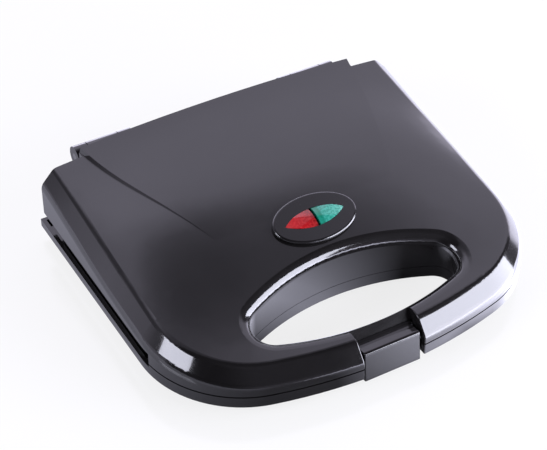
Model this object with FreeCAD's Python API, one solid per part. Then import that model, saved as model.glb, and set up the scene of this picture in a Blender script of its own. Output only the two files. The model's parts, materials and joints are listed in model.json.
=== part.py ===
import FreeCAD, Part
import math
import os

# Two-slice sandwich maker, closed at rest. Millimetres, +Z up, handle towards -Y, hinge towards +Y.
# The origin is on the floor, under the middle of the overall box.

# Overall plan
body_width = 226.0
body_depth = 210.0
front_radius = 275.0
corner_radius = 60.0
shoulder_setback = 23.5
base_setback = 17.0
panel_setback = 20.0
overrun = 40.0
snap_gap = 0.2

# Heights
foot_height = 3.0
rim_bottom = 6.5
base_side_top = 11.5
seam_height = 13.75
lid_slot_rise = 2.8
lid_front_rise = 11.55
lid_rise_share = 0.15
crown_height = 10.0
crown_side_margin = 9.0
crown_front_margin = 22.5
crown_rear_margin = 12.5
crown_power = 4
shoulder_drop = 6.0
patches = 12

# Shells
wall = 2.4
ring_wall = 3.4
floor_thickness = 2.0
bevel = 8.2
crease_radius = 5.0
roll_radius = 7.0
skirt_lean = 0.9
seam_groove_height = 0.6
seam_groove_depth = 1.0
slot_from_front = 58.0
belly_front_gap = 4.0
belly_inset = 5.0
belly_lean = 3.0
belly_corner = 14.0

# Raised centre panel of the lid
panel_step = 3.2
panel_fade_from_front = 91.5
panel_from_front = 63.5
panel_rear_inset = 25.0
panel_middle_inset = 38.0
panel_front_inset = 73.0
panel_back_inset = 25.5
panel_middle_from_rear = 47.0
panel_base_rise = 22.7
panel_wall_run = 9.0
panel_wall_rise = 36.0

# Finger opening of the handle: two flat arcs joined by round ends
hole_rear_from_front = 61.1
hole_front_from_front = 19.3
hole_rear_radius = 128.0
hole_front_radius = 166.0
hole_end_radius = 11.0
rim_radius = 7.2

# Latch clip and its place at the front of the handle
latch_half = 17.0
latch_side_gap = 1.4
latch_back_gap = 0.4
latch_pivot_drop = 7.7
latch_knuckle = 3.1
latch_fold_out = 10.5
latch_fold_up = 3.5
latch_foot_out = 12.5
latch_foot_z = 3.0
latch_thickness = 3.0
latch_lip = 3.1
latch_lip_gap = 0.4
latch_inner_out = 6.0
latch_inner_down = 1.6
latch_pin_radius = 1.5
latch_pin_end = 2.0
latch_edge_round = 0.7
latch_fold_round = 2.0
hood_gap = 0.7
notch_edge_round = 0.5
notch_floor_gap = 0.8
notch_front_out = 1.8
handle_wall = 2.2

# Hinge: on each side a lug of the lid between two arms of the base
hinge_z = 37.5
knuckle_radius = 6.5
hinge_width = 36.0
hinge_end_inset = 2.5
lug_root_half = 9.0
ear_width = 8.0
ear_gap = 0.4
ear_depth = 5.0
pin_radius = 2.5
running_gap = 0.05
press_gap = 0.02

# Cooking plates
plate_gap = 0.6
plate_half_gap = 0.15
plate_slab = 2.2
plate_skin = 1.8
plate_front_gap = 1.6
plate_rear_gap = 4.6
plate_rim = 1.8
plate_corner = 12.0
base_rim_drop = 5.2
lid_rim_drop = 4.4
pocket_inner = 10.0
pocket_side_margin = 13.0
pocket_front_margin = 5.4
pocket_rear_margin = 3.0
pocket_ridge = 7.0
pocket_round = 6.0
pocket_foot_round = 2.0
base_pocket_depth = 4.5
lid_pocket_depth = 8.0

# Heating elements, straps and shields
element_radius = 2.5
element_side_margin = 40.0
element_front_margin = 23.4
element_rear_margin = 27.0
element_tail = 13.0
element_end_half = 11.0
element_bend = 12.0
contact_gap = 0.05
strap_width = 9.0
strap_cover = 0.8
strap_inset = 25.0
lid_shield_gap = 0.35
base_shield_gap = 0.3
shield_thickness = 0.4
shield_side_margin = 16.0
shield_front_margin = 11.4
shield_rear_margin = 8.0
shield_slot = 8.6

# Plate screws
screw_side_margin = 6.0
screw_front_margin = 10.4
screw_rear_margin = 13.0
screw_radius = 1.5
screw_clear = 0.15
screw_head = 3.0
screw_head_depth = 1.4
screw_length = 9.0
screw_tip_gap = 0.5
boss_radius = 3.6

# Lamps
lamp_from_hole = 21.4
bezel_half_length = 24.8
bezel_half_width = 15.0
bezel_thickness = 2.4
bezel_round = 1.2
bezel_sink = 0.9
lens_half_length = 18.2
lens_half_width = 5.9
lens_bar = 1.6
lens_lift = 0.9
lens_depth = 2.5
lens_across_radius = 14.0
lens_along_radius = 140.0
lamp_wall = 1.5
lamp_tube_depth = 7.5
lamp_radius = 2.2
lamp_height = 3.6
lamp_offset = 7.0
holder_thickness = 1.4
lamp_clear = 2.0

# Controls and wiring
bracket_half = 6.6
bracket_length = 20.0
bracket_thickness = 1.0
thermostat_radius = 6.2
thermostat_height = 8.0
thermostat_from_element = 9.0
fuse_radius = 2.0
fuse_length = 14.0
fuse_from_thermostat = 34.0
lead_radius = 0.9
lead_bend = 2.0
lead_rise = 3.0
block_half = 6.5
block_ahead = 6.0
block_behind = 7.0
block_height = 7.5
gland_radius = 3.2
gland_bore = 2.3
gland_flange = 4.0
gland_flange_thickness = 1.5
gland_rise = 3.8
gland_boss_half = 7.0
gland_boss_rise = 8.3

# Feet
foot_radius = 7.0
foot_peg = 2.5
foot_peg_height = 1.2
foot_side_margin = 31.0
foot_front_margin = 17.0
foot_rear_margin = 27.5

# Places that follow from the sizes: the plan
notch_half = latch_half + latch_side_gap
half_width = body_width / 2
rear_reach = body_depth / 2
front_line = -body_depth / 2
front_reach = rear_reach + front_radius - math.sqrt(front_radius ** 2 - notch_half ** 2)
shoulder_rear = rear_reach - shoulder_setback
panel_rear = rear_reach - panel_setback
base_rear = rear_reach - base_setback
slot_front = front_line + slot_from_front
hole_rear = front_line + hole_rear_from_front
hole_front = front_line + hole_front_from_front
belly_front = hole_rear + ring_wall + belly_front_gap
tall = body_depth

# The stack of pieces from the floor up to the lid
floor_top = foot_height + floor_thickness
base_element_z = floor_top + shield_thickness + base_shield_gap + strap_cover + element_radius
base_back = base_element_z + element_radius + contact_gap
base_face = base_back + plate_skin + base_pocket_depth
mating_height = base_face + plate_half_gap
lid_face = mating_height + plate_half_gap
lid_slab_back = lid_face + plate_slab
lid_back = lid_face + lid_pocket_depth + plate_skin
lid_element_z = lid_back + contact_gap + element_radius
lid_shield_z = lid_element_z + element_radius + strap_cover + lid_shield_gap
lid_side_low = mating_height + lid_slot_rise
lid_front_height = seam_height + lid_front_rise

# The lid's crown and panel
crown_half = half_width - crown_side_margin
crown_front = front_line + crown_front_margin
crown_length = body_depth - crown_front_margin - crown_rear_margin
panel_fade = front_line + panel_fade_from_front
panel_front = front_line + panel_from_front
panel_middle = panel_rear - panel_middle_from_rear
panel_rear_half = half_width - panel_rear_inset
panel_middle_half = half_width - panel_middle_inset
panel_front_half = half_width - panel_front_inset
panel_back_half = half_width - panel_back_inset
panel_base_height = lid_front_height + panel_base_rise

# The latch and the hinge
notch_back = hole_front - handle_wall
latch_pivot_y = notch_back - latch_knuckle - latch_back_gap
latch_pivot_z = lid_front_height - latch_pivot_drop
notch_front = latch_pivot_y - notch_front_out
notch_floor = latch_pivot_z - latch_knuckle - notch_floor_gap
latch_face_out = latch_knuckle * math.sqrt(2)
hood_low = latch_pivot_z + latch_knuckle + hood_gap
hinge_y = rear_reach - knuckle_radius
hinge_outer = panel_back_half - hinge_end_inset
hinge_inner = hinge_outer - hinge_width
lug_inner = hinge_inner + ear_width + ear_gap
lug_outer = hinge_outer - ear_width - ear_gap

# The plates and what is fixed to them
plate_half = half_width - wall - plate_gap
plate_front = hole_rear + ring_wall + plate_front_gap
plate_rear = shoulder_rear - wall - plate_rear_gap
pocket_outer = plate_half - pocket_side_margin
pocket_front = plate_front + pocket_front_margin
pocket_rear = plate_rear - pocket_rear_margin
element_half = plate_half - element_side_margin
element_front = plate_front + element_front_margin
element_rear = plate_rear - element_rear_margin
element_end = element_rear + element_tail
strap_half = element_half - strap_inset
shield_half = plate_half - shield_side_margin
shield_front = plate_front + shield_front_margin
shield_rear = plate_rear - shield_rear_margin
screw_x = plate_half - screw_side_margin
screw_front = plate_front + screw_front_margin
screw_rear = plate_rear - screw_rear_margin

# The lamps, the controls and the feet
lamp_y = hole_rear + lamp_from_hole
thermostat_y = element_rear - thermostat_from_element
fuse_y = thermostat_y - fuse_from_thermostat
block_front = element_end - block_ahead
block_rear = element_end + block_behind
gland_z = rim_bottom + gland_rise
gland_boss_top = rim_bottom + gland_boss_rise
foot_x = half_width - foot_side_margin
foot_front = belly_front + foot_front_margin
foot_rear = base_rear - foot_rear_margin

up = FreeCAD.Vector(0, 0, 1)
right = FreeCAD.Vector(1, 0, 0)
back = FreeCAD.Vector(0, 1, 0)
nothing = FreeCAD.Vector(0, 0, 0)
sides = (("left", -1), ("right", 1))


def at(x, y, z):
    return FreeCAD.Vector(x, y, z)


def block(left, wide, front, deep, low, high):
    return Part.makeBox(wide - left, deep - front, high - low, at(left, front, low))


def rod(radius, length, start, axis):
    return Part.makeCylinder(radius, length, start, axis)


def edges_through(shape, points):
    marks = [Part.Vertex(point) for point in points]
    return [edge for edge in shape.Edges if any(edge.distToShape(mark)[0] < press_gap for mark in marks)]


def solid_between(wires):
    return Part.makeLoft(wires, True, True)


def plan_wire(inset, rear, z):
    """Body outline: straight sides, large front corners and a bowed front."""
    half = half_width - inset
    front = front_reach - inset
    big = front_radius - inset
    small = corner_radius - inset
    big_y = big - front
    small_x = half - small
    small_y = big_y - math.sqrt((big - small) ** 2 - small_x ** 2)
    tilt = math.atan2(small_x, big_y - small_y)
    middle = (tilt + math.pi / 2) / 2
    join_x = big * math.sin(tilt)
    join_y = big_y - big * math.cos(tilt)
    bulge_x = small_x + small * math.sin(middle)
    bulge_y = small_y - small * math.cos(middle)
    edges = [
        Part.makeLine(at(half, rear, z), at(half, small_y, z)),
        Part.Arc(at(half, small_y, z), at(bulge_x, bulge_y, z), at(join_x, join_y, z)).toShape(),
        Part.Arc(at(join_x, join_y, z), at(0, -front, z), at(-join_x, join_y, z)).toShape(),
        Part.Arc(at(-join_x, join_y, z), at(-bulge_x, bulge_y, z), at(-half, small_y, z)).toShape(),
        Part.makeLine(at(-half, small_y, z), at(-half, rear, z)),
        Part.makeLine(at(-half, rear, z), at(half, rear, z)),
    ]
    return Part.Wire(edges)


def plan_prism(inset, rear, low, high):
    return Part.Face(plan_wire(inset, rear, low)).extrude(at(0, 0, high - low))


def round_box_wire(half, front, rear, corner, z):
    corners = [at(half, front, z), at(half, rear, z), at(-half, rear, z), at(-half, front, z)]
    inner = [
        at(half - corner, front + corner, z),
        at(half - corner, rear - corner, z),
        at(corner - half, rear - corner, z),
        at(corner - half, front + corner, z),
    ]
    edges = []
    for index in range(len(corners)):
        here = corners[index]
        ahead = corners[(index + 1) % len(corners)]
        centre = inner[index]
        next_centre = inner[(index + 1) % len(corners)]
        step = (ahead - here).normalize()
        side = (here - centre).dot(step) * step
        out = here - centre - side
        begin = centre + out
        finish = next_centre + out
        edges.append(Part.makeLine(begin, finish))
        turn = (out + step * corner).normalize() * corner
        edges.append(Part.Arc(finish, next_centre + turn, next_centre + step * corner).toShape())
    return Part.Wire(edges)


def hole_column(grow, low, high):
    """Finger opening as a smooth closed column of four tangent arcs."""
    rear_centre = hole_rear - hole_rear_radius
    front_centre = hole_front + hole_front_radius
    rear_reach_in = hole_rear_radius - hole_end_radius
    front_reach_in = hole_front_radius - hole_end_radius
    squares = rear_reach_in ** 2 - front_reach_in ** 2 - rear_centre ** 2 + front_centre ** 2
    end_y = squares / (front_centre - rear_centre) / 2
    end_x = math.sqrt(rear_reach_in ** 2 - (end_y - rear_centre) ** 2)
    rear_share = (hole_rear_radius + grow) / rear_reach_in
    front_share = (hole_front_radius + grow) / front_reach_in
    rear_x = end_x * rear_share
    rear_y = rear_centre + (end_y - rear_centre) * rear_share
    front_x = end_x * front_share
    front_y = front_centre + (end_y - front_centre) * front_share
    tip = end_x + hole_end_radius + grow
    edges = [
        Part.Arc(at(-rear_x, rear_y, low), at(0, hole_rear + grow, low), at(rear_x, rear_y, low)),
        Part.Arc(at(rear_x, rear_y, low), at(tip, end_y, low), at(front_x, front_y, low)),
        Part.Arc(at(front_x, front_y, low), at(0, hole_front - grow, low), at(-front_x, front_y, low)),
        Part.Arc(at(-front_x, front_y, low), at(-tip, end_y, low), at(-rear_x, rear_y, low)),
    ]
    return Part.Face(Part.Wire([edge.toShape() for edge in edges])).extrude(at(0, 0, high - low))


def lid_height(x, y):
    """Height of the lid's top: a wedge rising to the rear, crowned, with low shoulders."""
    along = max(0, (y - crown_front) / crown_length)
    crown = crown_height * math.sin(math.pi * along) ** 2 * (1 - (x / crown_half) ** crown_power)
    shoulder = shoulder_drop * (x / half_width) ** 2 * ((y + front_reach) / body_depth) ** 2
    return lid_front_height + lid_rise_share * (y + front_reach) + crown - shoulder


def under_top(drop, step):
    """Everything below the lid's top, lowered by drop and raised by step at the panel's rear."""
    span = half_width + wall + wall
    start = -front_reach - wall - wall
    length = body_depth + wall + wall + wall + wall
    rows = []
    for i in range(patches + 1):
        x = -span + (span + span) * i / patches
        row = []
        for j in range(patches + 1):
            y = start + length * j / patches
            lift = step * (y - panel_fade) / (panel_rear - panel_fade)
            row.append(at(x, y, lid_height(x, y) - drop + lift))
        rows.append(row)
    surface = Part.BSplineSurface()
    surface.interpolate(rows)
    return surface.toShape().extrude(at(0, 0, -tall))


def top_edges(form):
    """Edges round the front and sides of the lid's top."""
    top = max(form.Faces, key=lambda face: face.CenterOfMass.z)
    return [edge for edge in top.Edges if edge.BoundBox.YMin < rear_reach]


def skirt_edges(form, low):
    """Edges where the bevel meets the upright skirt."""
    edges = []
    for edge in form.Edges:
        box = edge.BoundBox
        middle = edge.valueAt((edge.FirstParameter + edge.LastParameter) / 2)
        depth = lid_height(middle.x, middle.y) - middle.z
        if box.YMin < rear_reach and box.ZMin > low and depth > bevel / 2 and not is_upright(edge):
            edges.append(edge)
    return edges


def lid_form(inset, drop, low, rolled):
    """Wedge body with a bevel round the front and sides, before the rear is trimmed."""
    rear = rear_reach + wall
    prism = solid_between([plan_wire(inset, rear, low), plan_wire(inset + skirt_lean, rear, low + tall)])
    form = prism.common(under_top(drop, 0))
    form = form.makeChamfer(bevel, top_edges(form))
    if rolled:
        form = form.makeFillet(roll_radius, skirt_edges(form, low))
        form = form.makeFillet(crease_radius, top_edges(form))
    broad = block(-half_width, half_width, -front_reach, shoulder_rear - inset, 0, tall)
    half = panel_back_half - inset
    middle = block(-half, half, -front_reach, panel_rear - inset, 0, tall)
    return form.common(broad.fuse(middle))


def panel_wire(z, shift):
    rear_half = panel_rear_half - shift
    middle_half = panel_middle_half - shift
    front_half = panel_front_half - shift
    rear_right = at(rear_half, panel_rear, z)
    front_right = at(front_half, panel_front, z)
    front_left = at(-front_half, panel_front, z)
    rear_left = at(-rear_half, panel_rear, z)
    edges = [
        Part.Arc(rear_right, at(middle_half, panel_middle, z), front_right).toShape(),
        Part.makeLine(front_right, front_left),
        Part.Arc(front_left, at(-middle_half, panel_middle, z), rear_left).toShape(),
        Part.makeLine(rear_left, rear_right),
    ]
    return Part.Wire(edges)


def lid_panel():
    """Raised panel: sloping sides that fade out towards the handle."""
    low = panel_base_height - panel_wall_rise
    wide = panel_wire(low, -panel_wall_run)
    narrow = panel_wire(panel_base_height + panel_wall_rise, panel_wall_run)
    body = solid_between([wide, narrow]).common(under_top(0, panel_step))
    trim = block(-panel_back_half, panel_back_half, -front_reach, panel_rear, 0, tall)
    return body.cut(under_top(wall / 2, 0)).common(trim)


def notch_room(grow, floor):
    """Space the latch needs at the front of the handle."""
    half = notch_half + grow
    upper = block(-half, half, -front_reach - overrun, notch_back + grow, notch_floor - grow, tall)
    lower = block(-half, half, -front_reach - overrun, notch_front + grow, floor, tall)
    return upper.fuse(lower)


def latch_hood():
    """Slope of the lid above the latch, in line with the latch's upper face."""
    offset = latch_pivot_y - latch_face_out - latch_pivot_z
    points = [(notch_back, notch_back - offset), (hood_low + offset, hood_low), (notch_back, hood_low)]
    corners = [at(-notch_half, y, z) for y, z in points]
    return Part.Face(Part.makePolygon(corners + corners[:1])).extrude(at(notch_half + notch_half, 0, 0))


def notch_edges(shape, skin):
    """Edges where the sides of the latch's place meet the outer skin."""
    edges = []
    for edge in shape.Edges:
        middle = edge.valueAt((edge.FirstParameter + edge.LastParameter) / 2)
        points = [vertex.Point for vertex in edge.Vertexes] + [middle]
        on_side = all(abs(abs(point.x) - notch_half) < press_gap for point in points)
        above = middle.z > skin.BoundBox.ZMin + press_gap
        if on_side and above and skin.Shells[0].distToShape(Part.Vertex(middle))[0] < press_gap:
            edges.append(edge)
    return edges


def front_notch(grow):
    half = notch_half + grow
    return block(-half, half, -front_reach - overrun, notch_front + grow, -tall, tall)


def ring_room(low, high):
    """Room inside the handle: in front of the slot, outside the finger opening, clear of the latch."""
    room = block(-half_width, half_width, -front_reach, slot_front, low, high)
    room = room.cut(hole_column(ring_wall, low, high))
    return room.cut(front_notch(wall)).cut(notch_room(wall, notch_floor))


def screw_places():
    return [(sign * screw_x, y) for name, sign in sides for y in (screw_front, screw_rear)]


def lid_boss(x, y):
    boss = rod(boss_radius, tall, at(x, y, lid_slab_back), up).common(lid_form(wall / 2, wall / 2, 0, False))
    return boss.cut(rod(screw_radius, screw_length + screw_tip_gap, at(x, y, lid_face), up))


def hinge_profile(left, width, points, gap):
    """Outline in the side view, made wide and joined to its knuckle."""
    corners = [at(left, y, z) for y, z in points]
    body = Part.Face(Part.makePolygon(corners + corners[:1])).extrude(at(width, 0, 0))
    axis_start = at(left, hinge_y, hinge_z)
    body = body.fuse(rod(knuckle_radius, width, axis_start, right))
    return body.cut(rod(pin_radius + gap, width, axis_start, right)).removeSplitter()


def lid_lug(sign):
    """Hinge lug behind the lid."""
    root = panel_rear - wall
    points = [
        (root, hinge_z - lug_root_half),
        (hinge_y, hinge_z - knuckle_radius),
        (hinge_y, hinge_z + knuckle_radius),
        (root, hinge_z + lug_root_half),
    ]
    return hinge_profile(min(sign * lug_inner, sign * lug_outer), lug_outer - lug_inner, points, running_gap)


def ear_spans(sign):
    spans = []
    for start in (hinge_inner, hinge_outer - ear_width):
        spans.append(min(sign * start, sign * (start + ear_width)))
    return spans


def lid_shell():
    outer = lid_form(0, 0, seam_height + plate_half_gap, True).fuse(lid_panel()).removeSplitter()
    outer = outer.cut(hole_column(0, 0, tall))
    rim = [edge for edge in outer.Edges if is_rim(edge)]
    skin = outer.makeFillet(rim_radius, rim)
    outer = skin.cut(notch_room(0, 0).cut(latch_hood()))
    outer = outer.makeFillet(notch_edge_round, notch_edges(outer, skin))
    slot = block(-half_width, half_width, slot_front, rear_reach + wall, 0, lid_side_low)
    outer = outer.cut(slot.cut(hole_column(ring_wall, 0, tall)))
    inner = lid_form(wall, wall, 0, False)
    rear_room = block(-half_width, half_width, slot_front + wall, rear_reach, 0, tall)
    rear_room = rear_room.cut(hole_column(ring_wall, 0, tall))
    shell = outer.cut(inner.common(rear_room)).cut(inner.common(ring_room(0, tall)))
    shell = shell.cut(latch_pin_hole(press_gap))
    for x, y in screw_places():
        shell = shell.fuse(lid_boss(x, y))
    for name, sign in sides:
        shell = shell.fuse(lid_lug(sign))
    return shell.cut(on_lid(lamp_opening()))


def is_rim(edge):
    """True for an edge where the finger opening meets the lid's top."""
    near = hole_column(wall / 2, 0, tall)
    points = edge.discretize(patches)
    return all(point.z > seam_height + wall and near.isInside(point, press_gap, True) for point in points)


def is_upright(edge):
    return edge.BoundBox.ZLength > edge.Length / 2


def latch_pin_hole(gap):
    start = at(-notch_half - latch_pin_end, latch_pivot_y, latch_pivot_z)
    return rod(latch_pin_radius + gap, notch_half + notch_half + latch_pin_end + latch_pin_end, start, right)


def base_shell():
    high = seam_height - plate_half_gap
    skin = plan_prism(0, base_rear, rim_bottom, high)
    outer = skin.cut(front_notch(0))
    outer = outer.makeFillet(notch_edge_round, [edge for edge in notch_edges(outer, skin) if is_upright(edge)])
    groove = plan_prism(0, base_rear, high - seam_groove_height, high)
    outer = outer.cut(groove.cut(plan_prism(seam_groove_depth, base_rear, 0, tall)))
    belly_half = half_width - belly_inset
    belly_rear = base_rear - belly_inset
    foot_half = belly_half - belly_lean
    upper = round_box_wire(belly_half, belly_front, belly_rear, belly_corner, rim_bottom)
    lower_front = belly_front + belly_lean
    lower = round_box_wire(foot_half, lower_front, belly_rear - belly_lean, belly_corner, foot_height)
    outer = outer.fuse(solid_between([lower, upper]))
    slot = block(-half_width, half_width, slot_front, base_rear, base_side_top, tall)
    outer = outer.cut(slot.cut(hole_column(ring_wall, 0, tall)))
    outer = outer.cut(hole_column(0, 0, tall))
    rear_room = plan_prism(wall, base_rear - wall, rim_bottom + floor_thickness, tall)
    rear_room = rear_room.common(block(-half_width, half_width, slot_front + wall, rear_reach, 0, tall))
    rear_room = rear_room.cut(hole_column(ring_wall, 0, tall))
    pit_upper = round_box_wire(
        belly_half - wall, belly_front + wall, belly_rear - wall, belly_corner, rim_bottom + floor_thickness
    )
    pit_lower = round_box_wire(
        foot_half - wall, lower_front + wall, belly_rear - belly_lean - wall, belly_corner, floor_top
    )
    pit = solid_between([pit_lower, pit_upper])
    front_room = plan_prism(wall, base_rear, rim_bottom + floor_thickness, tall)
    front_room = front_room.common(ring_room(0, tall))
    shell = outer.cut(rear_room).cut(pit).cut(front_room)
    for x, y in screw_places():
        shell = shell.fuse(base_boss(x, y))
    for name, sign in sides:
        for low in ear_spans(sign):
            shell = shell.fuse(base_ear(low))
    for x, y in foot_places().values():
        shell = shell.cut(rod(foot_peg + press_gap, foot_peg_height, at(x, y, foot_height), up))
    shell = shell.fuse(
        block(-gland_boss_half, gland_boss_half, base_rear - wall, base_rear, rim_bottom, gland_boss_top)
    )
    gland = rod(gland_radius + press_gap, overrun, at(0, base_rear - overrun / 2, gland_z), back)
    return shell.cut(gland)


def base_boss(x, y):
    high = base_face - plate_slab
    boss = rod(boss_radius, high - rim_bottom, at(x, y, rim_bottom), up)
    tip = base_face - screw_length - screw_tip_gap
    return boss.cut(rod(screw_radius, screw_length, at(x, y, tip), up))


def base_ear(low):
    """Hinge arm rising behind the lid from the base's rear wall."""
    points = [
        (base_rear - ear_depth, rim_bottom),
        (base_rear, rim_bottom),
        (rear_reach, hinge_z),
        (hinge_y - knuckle_radius, hinge_z),
        (base_rear - ear_depth, base_side_top),
    ]
    return hinge_profile(low, ear_width, points, press_gap)


def hinge_pin(sign):
    start = at(min(ear_spans(sign)), hinge_y, hinge_z)
    return rod(pin_radius, hinge_outer - hinge_inner, start, right)


def handle_cover(low, sign):
    """Plate that closes one side of a handle half."""
    gap = wall + snap_gap
    cover = plan_prism(gap, base_rear, low, low + floor_thickness)
    cover = cover.common(block(-half_width, half_width, -front_reach, slot_front - snap_gap, 0, tall))
    cover = cover.cut(hole_column(ring_wall + snap_gap, 0, tall)).cut(front_notch(gap))
    cover = cover.cut(notch_room(gap, notch_floor))
    return cover.common(block(min(0, sign * half_width), max(0, sign * half_width), -front_reach, 0, 0, tall))


def latch_clip():
    """Clip hung on a cross pin: knuckle, face plate and a lip that ends just short of the base."""
    shoulder = latch_face_out / 2
    fold_y = latch_pivot_y - latch_fold_out
    fold_z = latch_pivot_z + latch_fold_up
    foot_y = latch_pivot_y - latch_foot_out
    slope = (foot_y - fold_y) / (latch_foot_z - fold_z)
    lip_top = latch_foot_z + latch_lip
    lip_inner = foot_y + slope * latch_lip + latch_thickness
    profile = [
        at(-latch_half, latch_pivot_y - shoulder, latch_pivot_z + shoulder),
        at(-latch_half, fold_y, fold_z),
        at(-latch_half, foot_y, latch_foot_z),
        at(-latch_half, notch_front - latch_lip_gap, latch_foot_z),
        at(-latch_half, notch_front - latch_lip_gap, lip_top),
        at(-latch_half, lip_inner, lip_top),
        at(-latch_half, latch_pivot_y - latch_inner_out, latch_pivot_z - latch_inner_down),
        at(-latch_half, latch_pivot_y, latch_pivot_z),
    ]
    face = Part.Face(Part.makePolygon(profile + profile[:1]))
    length = latch_half + latch_half
    start = at(-latch_half, latch_pivot_y, latch_pivot_z)
    clip = face.extrude(at(length, 0, 0))
    clip = clip.makeFillet(latch_fold_round, edges_through(clip, [at(0, fold_y, fold_z)]))
    middle_y = (fold_y + foot_y) / 2
    middle_z = (fold_z + latch_foot_z) / 2
    face_sides = [at(sign * latch_half, middle_y, middle_z) for name, sign in sides]
    clip = clip.makeFillet(latch_edge_round, edges_through(clip, face_sides))
    clip = clip.fuse(rod(latch_knuckle, length, start, right))
    return clip.cut(rod(latch_pin_radius + running_gap, length, start, right)).removeSplitter()


def triangle(points, z, grow):
    wire = Part.makePolygon([at(x, y, z) for x, y in points + points[:1]])
    return wire.makeOffset2D(grow)


def pocket_triangles():
    """Two triangles on each side, split by a slanting ridge."""
    left = pocket_inner + pocket_round
    wide = pocket_outer - pocket_round
    front = pocket_front + pocket_round
    rear = pocket_rear - pocket_round
    ridge = pocket_ridge + pocket_round + pocket_round
    shapes = []
    for name, sign in sides:
        shapes.append([(left, front), (wide - ridge, front), (left, rear - ridge)])
        shapes.append([(wide, rear), (left + ridge, rear), (wide, front + ridge)])
        for corners in shapes[-2:]:
            corners[:] = [(sign * x, y) for x, y in corners]
    return shapes


def cooking_plate(depth, rim_drop, holes):
    """Plate with its face at zero and its pockets downwards."""
    half = plate_half
    rear = plate_rear
    slab_wire = round_box_wire(half, plate_front, rear, plate_corner, -plate_slab)
    slab = Part.Face(slab_wire).extrude(up * plate_slab)
    skirt_wire = round_box_wire(half, plate_front, rear, plate_corner, -rim_drop)
    skirt = Part.Face(skirt_wire).extrude(up * rim_drop)
    core_wire = round_box_wire(
        half - plate_rim, plate_front + plate_rim, rear - plate_rim, plate_corner - plate_rim, -rim_drop
    )
    plate = skirt.cut(Part.Face(core_wire).extrude(up * rim_drop)).fuse(slab)
    for shape in pocket_triangles():
        outside = [
            triangle(shape, 0, pocket_round + plate_skin),
            triangle(shape, -depth - plate_skin, pocket_foot_round + plate_skin),
        ]
        plate = plate.fuse(solid_between(outside))
    for shape in pocket_triangles():
        inside = [triangle(shape, 0, pocket_round), triangle(shape, -depth, pocket_foot_round)]
        plate = plate.cut(solid_between(inside))
    for x, y in holes:
        plate = plate.cut(rod(screw_radius + screw_clear, tall, at(x, y, -tall / 2), up))
        seat = at(x, y, -screw_head_depth)
        plate = plate.cut(rod(screw_head + screw_clear, tall, seat, up))
    return plate


def turned_over(shape):
    return shape.mirror(nothing, up)


def moved(shape, z):
    shape.translate(at(0, 0, z))
    return shape


def bent_path(points, bend):
    """Straight runs joined by tangent arcs."""
    edges = []
    start = points[0]
    for index in range(1, len(points) - 1):
        corner = points[index]
        arriving = (corner - points[index - 1]).normalize()
        leaving = (points[index + 1] - corner).normalize()
        half_turn = arriving.getAngle(leaving) / 2
        cut = bend * math.tan(half_turn)
        first = corner - arriving * cut
        last = corner + leaving * cut
        inward = (leaving - arriving).normalize()
        middle = corner + inward * (bend / math.cos(half_turn) - bend)
        edges.append(Part.makeLine(start, first))
        edges.append(Part.Arc(first, middle, last).toShape())
        start = last
    edges.append(Part.makeLine(start, points[-1]))
    return Part.Wire(edges)


def tube(points, radius, bend):
    path = bent_path(points, bend)
    heading = points[1] - points[0]
    ring = Part.Wire([Part.makeCircle(radius, points[0], heading)])
    return path.makePipe(Part.Face(ring))


def heating_element(z):
    """Sheathed element bent round the back of a plate, both ends at the rear."""
    points = [
        at(element_end_half, element_end, z),
        at(element_end_half, element_rear, z),
        at(element_half, element_rear, z),
        at(element_half, element_front, z),
        at(-element_half, element_front, z),
        at(-element_half, element_rear, z),
        at(-element_end_half, element_rear, z),
        at(-element_end_half, element_end, z),
    ]
    return tube(points, element_radius, element_bend)


def element_straps(z):
    """Four saddles that hold an element against its plate, as a group of equal solids."""
    straps = []
    outer = element_radius + strap_cover
    for name, sign in sides:
        for y in (element_front, element_rear):
            middle = sign * strap_half
            left = middle - strap_width / 2
            wide = middle + strap_width / 2
            saddle = block(left, wide, y - outer, y + outer, z - outer, z + element_radius)
            channel = element_radius + contact_gap
            gap = block(middle - strap_width, middle + strap_width, y - channel, y + channel, z, z + outer)
            gap = gap.fuse(rod(channel, strap_width + strap_width, at(middle - strap_width, y, z), right))
            straps.append(saddle.cut(gap))
    return straps


def heat_shield(z, slot_start):
    sheet = block(-shield_half, shield_half, shield_front, shield_rear, z, z + shield_thickness)
    return sheet.cut(block(-shield_slot, shield_slot, slot_start, shield_rear, 0, tall))


def lid_shield():
    """Shield above the upper element, notched round the lamps."""
    side = lens_half_length + lamp_wall + lamp_clear
    rear = lamp_y + lens_half_width + lamp_wall + lamp_clear
    sheet = heat_shield(lid_shield_z, rear + shield_slot)
    return sheet.cut(block(-side, side, shield_front, rear, 0, tall))


def plate_screws():
    """Screws with their heads at zero and their shanks downwards."""
    screws = []
    for x, y in screw_places():
        head = rod(screw_head, screw_head_depth, at(x, y, -screw_head_depth), up)
        shank = rod(screw_radius, screw_length, at(x, y, -screw_length), up)
        screws.append(head.fuse(shank))
    return screws


def on_lid(shape):
    """Carry a piece drawn about zero onto the sloping top of the lid at the lamps."""
    ahead = lid_height(0, lamp_y + wall)
    behind = lid_height(0, lamp_y - wall)
    slope = math.degrees(math.atan2(ahead - behind, wall + wall))
    shape.rotate(nothing, right, slope)
    shape.translate(at(0, lamp_y, lid_height(0, lamp_y)))
    return shape


def almond(grow, low, high):
    """Pointed oval column that the two lenses share."""
    length = lens_half_length + grow
    width = lens_half_width + grow
    front = Part.Arc(at(-length, 0, low), at(0, -width, low), at(length, 0, low)).toShape()
    rear = Part.Arc(at(length, 0, low), at(0, width, low), at(-length, 0, low)).toShape()
    return Part.Face(Part.Wire([front, rear])).extrude(at(0, 0, high - low))


def lamp_opening():
    return almond(lamp_wall + snap_gap, -lamp_tube_depth, overrun)


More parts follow.
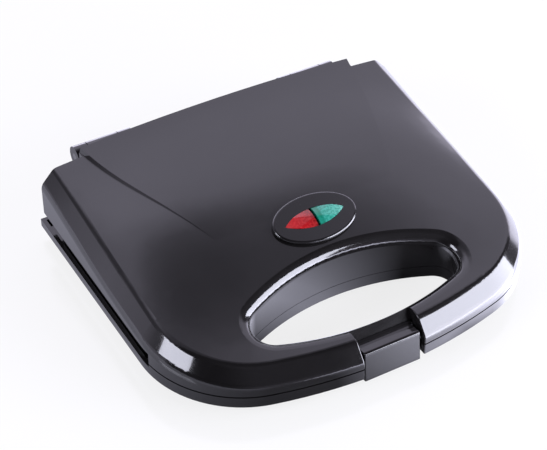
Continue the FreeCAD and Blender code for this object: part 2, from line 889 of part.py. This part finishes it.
def lamp_bezel():
    """Oval surround with the tube that carries the lenses through the lid."""
    ellipse = Part.Ellipse(nothing, bezel_half_length, bezel_half_width).toShape()
    disc = Part.Face(Part.Wire([ellipse])).extrude(up * (bezel_thickness + bezel_sink))
    top = [edge for edge in disc.Edges if edge.BoundBox.ZMin > bezel_thickness / 2]
    disc = disc.makeFillet(bezel_round, top)
    disc.translate(at(0, 0, -bezel_sink))
    bezel = on_lid(disc).cut(under_top(-contact_gap, 0)).cut(under_top(-contact_gap, panel_step))
    neck = on_lid(almond(lamp_wall, -lamp_tube_depth, bezel_thickness / 2))
    bezel = bezel.fuse(neck)
    return bezel.cut(on_lid(almond(0, -overrun, overrun)))


def lens(sign):
    """Half of the pointed oval, with a crowned top."""
    top = bezel_thickness + lens_lift
    body = almond(-contact_gap, -lens_depth, top)
    inner = sign * lens_bar / 2
    outer = sign * tall
    body = body.common(block(min(inner, outer), max(inner, outer), -tall, tall, -tall, tall))
    body = body.common(rod(lens_across_radius, tall, at(-tall / 2, 0, top - lens_across_radius), right))
    body = body.common(rod(lens_along_radius, tall, at(0, -tall / 2, top - lens_along_radius), back))
    return on_lid(body)


def lamp(sign):
    return on_lid(rod(lamp_radius, lamp_height, at(sign * lamp_offset, 0, -lamp_tube_depth), up))


def lamp_holder():
    return on_lid(almond(lamp_wall, -lamp_tube_depth - holder_thickness, -lamp_tube_depth))


def foot_places():
    places = {}
    for name, sign in sides:
        places["foot_front_" + name] = (sign * foot_x, foot_front)
        places["foot_rear_" + name] = (sign * foot_x, foot_rear)
    return places


def foot(x, y):
    pad = rod(foot_radius, foot_height, at(x, y, 0), up)
    return pad.fuse(rod(foot_peg, foot_height + foot_peg_height, at(x, y, 0), up)).removeSplitter()


def cord_gland():
    start = base_rear - wall
    bush = rod(gland_radius, wall + gland_flange_thickness, at(0, start, gland_z), back)
    bush = bush.fuse(rod(gland_flange, gland_flange_thickness, at(0, base_rear, gland_z), back))
    return bush.cut(rod(gland_bore, overrun, at(0, start - wall, gland_z), back))


def base_lead(sign, z):
    """Lead from the terminal block to one end of the lower element."""
    points = [
        at(sign * block_half, element_end + lead_rise, z),
        at(sign * element_end_half, element_end + lead_rise, z),
        at(sign * element_end_half, element_end, z),
    ]
    return tube(points, lead_radius, lead_bend)


def save(name, shape):
    shapes = shape if isinstance(shape, list) else [shape]
    solids = [solid for item in shapes for solid in item.Solids]
    result = solids[0] if len(solids) == 1 else Part.makeCompound(solids)
    result.exportStep("parts/" + name + ".step")


os.makedirs("parts", exist_ok=True)

save("lid_shell", lid_shell())
save("base_shell", base_shell())
inside = lid_form(wall + snap_gap, wall + snap_gap, 0, False)
for name, sign in sides:
    lid_cover = handle_cover(seam_height + plate_half_gap, sign)
    save("lid_handle_cover_" + name, lid_cover.common(inside))
    save("base_handle_cover_" + name, handle_cover(seam_height - plate_half_gap - floor_thickness, sign))
    save("hinge_pin_" + name, hinge_pin(sign))
save("latch_clip", latch_clip())
save("latch_pin", latch_pin_hole(0))
save("base_plate", moved(cooking_plate(base_pocket_depth, base_rim_drop, screw_places()), base_face))
save("lid_plate", moved(turned_over(cooking_plate(lid_pocket_depth, lid_rim_drop, screw_places())), lid_face))
save("base_plate_screws", [moved(screw, base_face) for screw in plate_screws()])
save("lid_plate_screws", [moved(turned_over(screw), lid_face) for screw in plate_screws()])
save("base_element", heating_element(base_element_z))
save("lid_element", heating_element(lid_element_z))
save("base_element_straps", element_straps(base_element_z))
save("lid_element_straps", [moved(turned_over(strap), lid_element_z) for strap in element_straps(0)])
save("base_shield", heat_shield(floor_top, shield_front + shield_slot))
save("lid_shield", lid_shield())
bracket_front = thermostat_y - bracket_length / 2
bracket_rear = thermostat_y + bracket_length / 2
bracket_top = lid_slab_back + bracket_thickness
bracket = block(-bracket_half, bracket_half, bracket_front, bracket_rear, lid_slab_back, bracket_top)
save("thermostat_bracket", bracket)
save("thermostat", rod(thermostat_radius, thermostat_height, at(0, thermostat_y, bracket_top), up))
save("thermal_fuse", rod(fuse_radius, fuse_length, at(0, fuse_y, lid_slab_back + fuse_radius), back))
save("lamp_bezel", lamp_bezel())
save("red_lens", lens(-1))
save("green_lens", lens(1))
save("red_lamp", lamp(-1))
save("green_lamp", lamp(1))
save("lamp_holder", lamp_holder())
block_top = floor_top + block_height
save("terminal_block", block(-block_half, block_half, block_front, block_rear, floor_top, block_top))
save("cord_gland", cord_gland())
for name, sign in sides:
    save("base_lead_" + name, base_lead(sign, base_element_z))
for name, place in foot_places().items():
    save(name, foot(*place))
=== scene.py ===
import json
import math

import bpy
from mathutils import Matrix, Vector

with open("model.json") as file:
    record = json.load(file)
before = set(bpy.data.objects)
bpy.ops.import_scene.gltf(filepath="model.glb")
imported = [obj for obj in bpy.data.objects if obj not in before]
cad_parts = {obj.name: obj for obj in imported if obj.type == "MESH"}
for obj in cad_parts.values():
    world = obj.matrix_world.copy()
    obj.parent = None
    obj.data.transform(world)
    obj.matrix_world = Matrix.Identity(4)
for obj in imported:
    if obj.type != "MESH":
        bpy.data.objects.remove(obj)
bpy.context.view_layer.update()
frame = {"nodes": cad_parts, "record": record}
nodes = frame["nodes"]
scene = bpy.context.scene
scene.view_settings.view_transform = "Standard"

# Camera, solved from the outline, the latch, the opening and the lamps of the photograph; lengths in metres
IMAGE_WIDTH = 547
FOCAL_PIXELS = 1685.2
SENSOR_WIDTH = 36.0
AZIMUTH = math.radians(-29.92)
ELEVATION = math.radians(40.63)
ROLL = math.radians(0.17)
DISTANCE = 0.94576
AIM = Vector((0.0, 0.00944, 0.0065))
AIM_RIGHT = -0.0057
AIM_UP = 0.00839


def link(obj):
    scene.collection.objects.link(obj)
    return obj


def add_camera():
    back = Vector((
        math.sin(AZIMUTH) * math.cos(ELEVATION),
        -math.cos(AZIMUTH) * math.cos(ELEVATION),
        math.sin(ELEVATION),
    ))
    level = Vector((math.cos(AZIMUTH), math.sin(AZIMUTH), 0))
    upright = back.cross(level)
    across = level * math.cos(ROLL) + upright * math.sin(ROLL)
    upward = upright * math.cos(ROLL) - level * math.sin(ROLL)
    place = AIM + across * AIM_RIGHT + upward * AIM_UP + back * DISTANCE
    camera = bpy.data.cameras.new("photo_camera")
    camera.sensor_width = SENSOR_WIDTH
    camera.lens = SENSOR_WIDTH * FOCAL_PIXELS / IMAGE_WIDTH
    holder = link(bpy.data.objects.new("photo_camera", camera))
    turn = Matrix((across, upward, back)).transposed().to_4x4()
    holder.matrix_world = Matrix.Translation(place) @ turn
    scene.camera = holder


# Node trees

# Places of the colour sockets on a mix node
MIX_SHARE = 0
MIX_FIRST = 6
MIX_SECOND = 7
MIX_RESULT = 2

EVEN = (1.0, 1.0, 1.0)


class Nodes:
    """A node tree with short calls to add nodes and links."""

    def __init__(self, tree):
        self.tree = tree
        tree.nodes.clear()

    def add(self, kind, **settings):
        node = self.tree.nodes.new(kind)
        for name, value in settings.items():
            setattr(node, name, value)
        return node

    def join(self, source, target):
        self.tree.links.new(source, target)


def new_material(name):
    material = bpy.data.materials.new(name)
    material.use_nodes = True
    graph = Nodes(material.node_tree)
    output = graph.add("ShaderNodeOutputMaterial")
    shader = graph.add("ShaderNodeBsdfPrincipled")
    graph.join(shader.outputs["BSDF"], output.inputs["Surface"])
    return material, graph, shader


def grey(value, tint=EVEN):
    return (value * tint[0], value * tint[1], value * tint[2], 1.0)


def axes(graph, space):
    """The X, Y and Z of a point in one of its spaces."""
    place = graph.add("ShaderNodeTexCoord")
    split = graph.add("ShaderNodeSeparateXYZ")
    graph.join(place.outputs[space], split.inputs["Vector"])
    return split.outputs


def noise(graph, scale, detail, rough, stretch=EVEN):
    """Noise in the object's own space, so that it keeps its size on every piece."""
    place = graph.add("ShaderNodeTexCoord")
    squeeze = graph.add("ShaderNodeMapping")
    squeeze.inputs["Scale"].default_value = stretch
    graph.join(place.outputs["Object"], squeeze.inputs["Vector"])
    texture = graph.add("ShaderNodeTexNoise")
    graph.join(squeeze.outputs["Vector"], texture.inputs["Vector"])
    texture.inputs["Scale"].default_value = scale
    texture.inputs["Detail"].default_value = detail
    texture.inputs["Roughness"].default_value = rough
    return texture.outputs["Fac"]


def ramp(graph, source, *stops):
    """Colours along a value, from pairs of position and colour."""
    node = graph.add("ShaderNodeValToRGB")
    graph.join(source, node.inputs["Fac"])
    elements = node.color_ramp.elements
    while len(elements) < len(stops):
        elements.new(0.5)
    for element, (position, colour) in zip(elements, stops):
        element.position = position
        element.color = colour
    return node.outputs["Color"]


def span(graph, source, low, high, start, end, soft=False):
    """A value that goes from low to high while the source goes from start to end."""
    node = graph.add("ShaderNodeMapRange")
    node.interpolation_type = "SMOOTHSTEP" if soft else "LINEAR"
    graph.join(source, node.inputs["Value"])
    node.inputs["From Min"].default_value = start
    node.inputs["From Max"].default_value = end
    node.inputs["To Min"].default_value = low
    node.inputs["To Max"].default_value = high
    return node.outputs["Result"]


def blend(graph, share, first, second):
    """The first colour where the share is low and the second where it is high."""
    node = graph.add("ShaderNodeMix", data_type="RGBA")
    graph.join(share, node.inputs[MIX_SHARE])
    graph.join(first, node.inputs[MIX_FIRST])
    node.inputs[MIX_SECOND].default_value = second
    return node.outputs[MIX_RESULT]


def times(graph, first, second):
    node = graph.add("ShaderNodeMath", operation="MULTIPLY")
    graph.join(first, node.inputs[0])
    if isinstance(second, float):
        node.inputs[1].default_value = second
    else:
        graph.join(second, node.inputs[1])
    return node.outputs["Value"]


def plus(graph, first, second):
    node = graph.add("ShaderNodeMath", operation="ADD")
    graph.join(first, node.inputs[0])
    graph.join(second, node.inputs[1])
    return node.outputs["Value"]


# Materials

# Scale, detail and roughness of each noise
CLOUDS = (22.0, 4.0, 0.5)
SPOTS = (140.0, 8.0, 0.7)
STREAKS = (60.0, 6.0, 0.6)
PRISMS = (900.0, 2.0, 0.6)
GRAIN_DETAIL = 3.0
GRAIN_ROUGH = 0.5

# Part of a noise over which a look changes
CLOUD_DARK = 0.35
CLOUD_LIGHT = 0.7
SPOT_EDGE = 0.08
GLOSS_RANGE = (0.3, 0.7)
PRISM_RANGE = (0.44, 0.56)

PRISM_GLOSS = (0.1, 0.2)
PRISM_RELIEF = 0.12
RELIEF_DEPTH = 0.0002
COAT_ROUGH = 0.05
LENS_COAT_ROUGH = 0.04


def bump(graph, shader, source, strength):
    node = graph.add("ShaderNodeBump")
    graph.join(source, node.inputs["Height"])
    node.inputs["Strength"].default_value = strength
    node.inputs["Distance"].default_value = RELIEF_DEPTH
    graph.join(node.outputs["Normal"], shader.inputs["Normal"])


def surface(name, dark, light, rough, grain, wear, wear_share, stretch=EVEN, coat=0.0, metal=0.0):
    """Clouded colour with worn spots, uneven gloss and a fine grain, given by its scale and strength."""
    material, graph, shader = new_material(name)
    tone = ramp(graph, noise(graph, *CLOUDS), (CLOUD_DARK, dark), (CLOUD_LIGHT, light))
    spots = span(graph, noise(graph, *SPOTS), 0.0, 1.0, wear_share, wear_share + SPOT_EDGE)
    graph.join(blend(graph, spots, tone, wear), shader.inputs["Base Color"])
    streaks = noise(graph, *STREAKS, stretch)
    graph.join(span(graph, streaks, *rough, *GLOSS_RANGE), shader.inputs["Roughness"])
    grain_scale, grain_strength = grain
    bump(graph, shader, noise(graph, grain_scale, GRAIN_DETAIL, GRAIN_ROUGH, stretch), grain_strength)
    shader.inputs["Metallic"].default_value = metal
    shader.inputs["Coat Weight"].default_value = coat
    shader.inputs["Coat Roughness"].default_value = COAT_ROUGH
    return material


def lens(name, stops, speckle, speckle_share):
    """Clear coloured plastic, moulded with fine prisms, whose colour carries painted light and shade from
    left to right.
    """
    material, graph, shader = new_material(name)
    # Painted light and shade: the colour follows the stops along the lens from left to right
    tone = ramp(graph, axes(graph, "Generated")["X"], *stops)
    prisms = noise(graph, *PRISMS)
    share = span(graph, prisms, 0.0, speckle_share, *PRISM_RANGE)
    graph.join(blend(graph, share, tone, speckle), shader.inputs["Base Color"])
    graph.join(span(graph, prisms, *PRISM_GLOSS, *GLOSS_RANGE), shader.inputs["Roughness"])
    bump(graph, shader, prisms, PRISM_RELIEF)
    shader.inputs["Coat Weight"].default_value = 1.0
    shader.inputs["Coat Roughness"].default_value = LENS_COAT_ROUGH
    return material


BLACK_TINT = (1.06, 0.98, 0.98)
WARM = (1.0, 0.97, 0.9)
BROWNED = (1.0, 0.88, 0.7)

SURFACES = {
    "black_gloss": dict(
        dark=grey(0.009, BLACK_TINT), light=grey(0.013, BLACK_TINT), rough=(0.1, 0.17), grain=(900.0, 0.02),
        wear=grey(0.02), wear_share=0.7, stretch=(1.0, 3.0, 1.0), coat=1.0),
    "black_satin": dict(
        dark=grey(0.018), light=grey(0.03), rough=(0.4, 0.52), grain=(1800.0, 0.25),
        wear=grey(0.05), wear_share=0.66),
    "nonstick": dict(
        dark=grey(0.026), light=grey(0.045), rough=(0.3, 0.44), grain=(2600.0, 0.3),
        wear=(0.075, 0.055, 0.04, 1.0), wear_share=0.6),
    "rubber": dict(
        dark=grey(0.018), light=grey(0.03), rough=(0.65, 0.82), grain=(2200.0, 0.4),
        wear=grey(0.07), wear_share=0.62),
    "pale_moulding": dict(
        dark=grey(0.58, WARM), light=grey(0.72, WARM), rough=(0.5, 0.62), grain=(1500.0, 0.2),
        wear=grey(0.4, (1.0, 0.9, 0.75)), wear_share=0.62),
    "lead_sleeve": dict(
        dark=grey(0.5, WARM), light=grey(0.7, WARM), rough=(0.7, 0.88), grain=(4000.0, 0.7),
        wear=grey(0.36, BROWNED), wear_share=0.6, stretch=(4.0, 1.0, 4.0)),
    "lamp_glass": dict(
        dark=grey(0.7), light=grey(0.85), rough=(0.05, 0.12), grain=(500.0, 0.05),
        wear=grey(0.5), wear_share=0.7),
    "steel": dict(
        dark=grey(0.48), light=grey(0.6), rough=(0.18, 0.36), grain=(1500.0, 0.12),
        wear=grey(0.3, (1.0, 0.9, 0.8)), wear_share=0.64, stretch=(8.0, 1.0, 1.0), metal=1.0),
    "sheet_metal": dict(
        dark=grey(0.55), light=grey(0.7), rough=(0.26, 0.46), grain=(900.0, 0.12),
        wear=grey(0.42, BROWNED), wear_share=0.6, stretch=(1.0, 9.0, 1.0), metal=1.0),
    "element_sheath": dict(
        dark=(0.2, 0.17, 0.15, 1.0), light=(0.3, 0.28, 0.3, 1.0), rough=(0.35, 0.55), grain=(900.0, 0.25),
        wear=(0.16, 0.11, 0.08, 1.0), wear_share=0.56, metal=1.0),
}
LENSES = {
    "red_clear": dict(
        # Painted shade: the red is bright at the left and darkens towards the right
        stops=(
            (0.0, (0.6, 0.035, 0.035, 1.0)), (0.3, (0.58, 0.012, 0.016, 1.0)),
            (0.75, (0.42, 0.01, 0.014, 1.0)), (1.0, (0.2, 0.006, 0.008, 1.0)),
        ),
        speckle=(0.8, 0.05, 0.05, 1.0), speckle_share=0.35),
    "green_clear": dict(
        # Painted shade on the dark band of the left chamfer, and a painted highlight on the bright right
        # rim
        stops=(
            (0.0, (0.012, 0.3, 0.18, 1.0)), (0.16, (0.008, 0.22, 0.13, 1.0)),
            (0.2, (0.06, 0.46, 0.34, 1.0)), (0.7, (0.08, 0.52, 0.39, 1.0)), (1.0, (0.24, 0.74, 0.58, 1.0)),
        ),
        speckle=(0.016, 0.3, 0.21, 1.0), speckle_share=0.8),
}

materials = {name: surface(name, **look) for name, look in SURFACES.items()}
materials.update((name, lens(name, **look)) for name, look in LENSES.items())

for part in frame["record"]["subparts"]:
    mesh = nodes[part["node"]].data
    mesh.materials.clear()
    mesh.materials.append(materials[part["material_slot"]])


# Floor, world and lamps; lengths in metres

FLOOR_SIZE = 8.0
FLOOR_GREY = 0.2
FLOOR_ROUGH = 0.14
FLOOR_GLOW = 0.8
FLOOR_TINT = (0.94, 0.94, 1.14)

# Painted glow in the floor that only reflections see, standing in for bright and dark surroundings mirrored
# in the object: brightness of each patch, and where each starts and ends along X or Y
FLOOR_LEFT = 0.5
LEFT_ENDS_X = (-0.17, -0.07)
FLOOR_RIGHT = 3.8
RIGHT_STARTS_X = (0.055, 0.1)
RIGHT_DIMS_Y = (-0.06, 0.0)
RIGHT_REAR_SHARE = 0.2
FLOOR_FRONT = 1.9
FRONT_STARTS_X = (-0.03, 0.04)
FRONT_ENDS_Y = (-0.11, -0.1)
FLOOR_OPENING = 1.4
OPENING_STARTS_X = (-0.05, -0.012)
OPENING_ENDS_X = (0.0, 0.04)
OPENING_STARTS_Y = (-0.1, -0.09)


def add_floor():
    """Pale floor, evenly bright for the camera; for reflections only it carries painted glow, bright at the
    right, in front and under the opening and dim at the left, which paints reflections into the object.
    """
    mesh = bpy.data.meshes.new("floor")
    half = FLOOR_SIZE / 2
    corners = [(-half, -half, 0), (half, -half, 0), (half, half, 0), (-half, half, 0)]
    mesh.from_pydata(corners, [], [(0, 1, 2, 3)])
    floor = link(bpy.data.objects.new("floor", mesh))
    material, graph, shader = new_material("pale_floor")
    shader.inputs["Base Color"].default_value = grey(FLOOR_GREY)
    shader.inputs["Roughness"].default_value = FLOOR_ROUGH
    path = graph.add("ShaderNodeLightPath")
    point = axes(graph, "Object")
    across, along = point["X"], point["Y"]

    # Painted reflection patches: at the left, at the right, in front, and under the handle's opening to
    # light its walls
    left = span(graph, across, FLOOR_LEFT, 0.0, *LEFT_ENDS_X)
    right = times(
        graph,
        span(graph, across, 0.0, FLOOR_RIGHT, *RIGHT_STARTS_X),
        span(graph, along, 1.0, RIGHT_REAR_SHARE, *RIGHT_DIMS_Y),
    )
    front = times(
        graph,
        span(graph, across, 0.0, FLOOR_FRONT, *FRONT_STARTS_X),
        span(graph, along, 1.0, 0.0, *FRONT_ENDS_Y),
    )
    hollow = times(
        graph,
        span(graph, across, 0.0, FLOOR_OPENING, *OPENING_STARTS_X),
        span(graph, across, 1.0, 0.0, *OPENING_ENDS_X),
    )
    opening = times(graph, hollow, span(graph, along, 0.0, 1.0, *OPENING_STARTS_Y))
    painted_reflection_glow = plus(graph, plus(graph, left, right), plus(graph, front, opening))

    # Painted reflection: this glow is seen only by glossy rays, so it lights the object's reflections and
    # not the floor the camera sees
    mirrored = times(graph, path.outputs["Is Glossy Ray"], painted_reflection_glow)
    seen = times(graph, path.outputs["Is Camera Ray"], FLOOR_GLOW)
    tone = ramp(graph, path.outputs["Is Glossy Ray"], (0.0, grey(1.0)), (1.0, grey(1.0, FLOOR_TINT)))
    graph.join(tone, shader.inputs["Emission Color"])
    graph.join(plus(graph, seen, mirrored), shader.inputs["Emission Strength"])
    mesh.materials.append(material)


# Brightness of the sky by the upward part of the direction
SKY_TINT = (0.95, 0.91, 1.12)
SKY = (
    (0.0, 2.4), (0.18, 2.2), (0.32, 0.9), (0.42, 0.76), (0.574, 0.8), (0.707, 0.88),
    (0.8, 0.88), (0.85, 0.68), (0.9, 0.36), (0.95, 0.2), (1.0, 0.14),
)

# Shares of the sky's light: low, high, and the part of the direction where the change starts and ends
SKY_BEHIND = (0.08, 1.0, 0.03, 0.14)
SKY_LEFT = (0.25, 1.3, -0.6, -0.12)
SKY_RIGHT = (1.0, 0.8, -0.1, 0.35)


def add_world():
    """A pale room that is bright low down behind the object and dark in front of it."""
    world = bpy.data.worlds.new("studio")
    scene.world = world
    world.use_nodes = True
    graph = Nodes(world.node_tree)
    output = graph.add("ShaderNodeOutputWorld")
    sky = graph.add("ShaderNodeBackground")
    graph.join(sky.outputs["Background"], output.inputs["Surface"])
    point = axes(graph, "Generated")
    stops = [(position, grey(level, SKY_TINT)) for position, level in SKY]
    graph.join(ramp(graph, point["Z"], *stops), sky.inputs["Color"])
    behind = span(graph, point["Y"], *SKY_BEHIND, soft=True)
    left = span(graph, point["X"], *SKY_LEFT, soft=True)
    right = span(graph, point["X"], *SKY_RIGHT, soft=True)
    graph.join(times(graph, behind, times(graph, left, right)), sky.inputs["Strength"])


BOX_TINT = (0.94, 0.95, 1.1)
BOXES = {
    "right_box": dict(azimuth=130.0, elevation=16.0, distance=1.35, size=(1.26, 0.82), radiance=9.0),
    "left_box": dict(azimuth=-93.0, elevation=29.0, distance=1.3, size=(0.68, 0.42), radiance=7.8),
}


def add_lamp(name, azimuth, elevation, distance, size, radiance):
    """Soft box that faces the middle of the object; azimuth from the rear, clockwise seen from above."""
    width, height = size
    light = bpy.data.lights.new(name, "AREA")
    light.shape = "RECTANGLE"
    light.size, light.size_y = size
    light.energy = radiance * math.pi * width * height
    light.color = BOX_TINT
    lamp = link(bpy.data.objects.new(name, light))
    turn = math.radians(azimuth)
    rise = math.radians(elevation)
    out = Vector((
        math.sin(turn) * math.cos(rise),
        math.cos(turn) * math.cos(rise),
        math.sin(rise),
    ))
    aim = (-out).to_track_quat("-Z", "Y").to_matrix().to_4x4()
    lamp.matrix_world = Matrix.Translation(out * distance) @ aim


add_camera()
add_floor()
add_world()
for box, placing in BOXES.items():
    add_lamp(box, **placing)
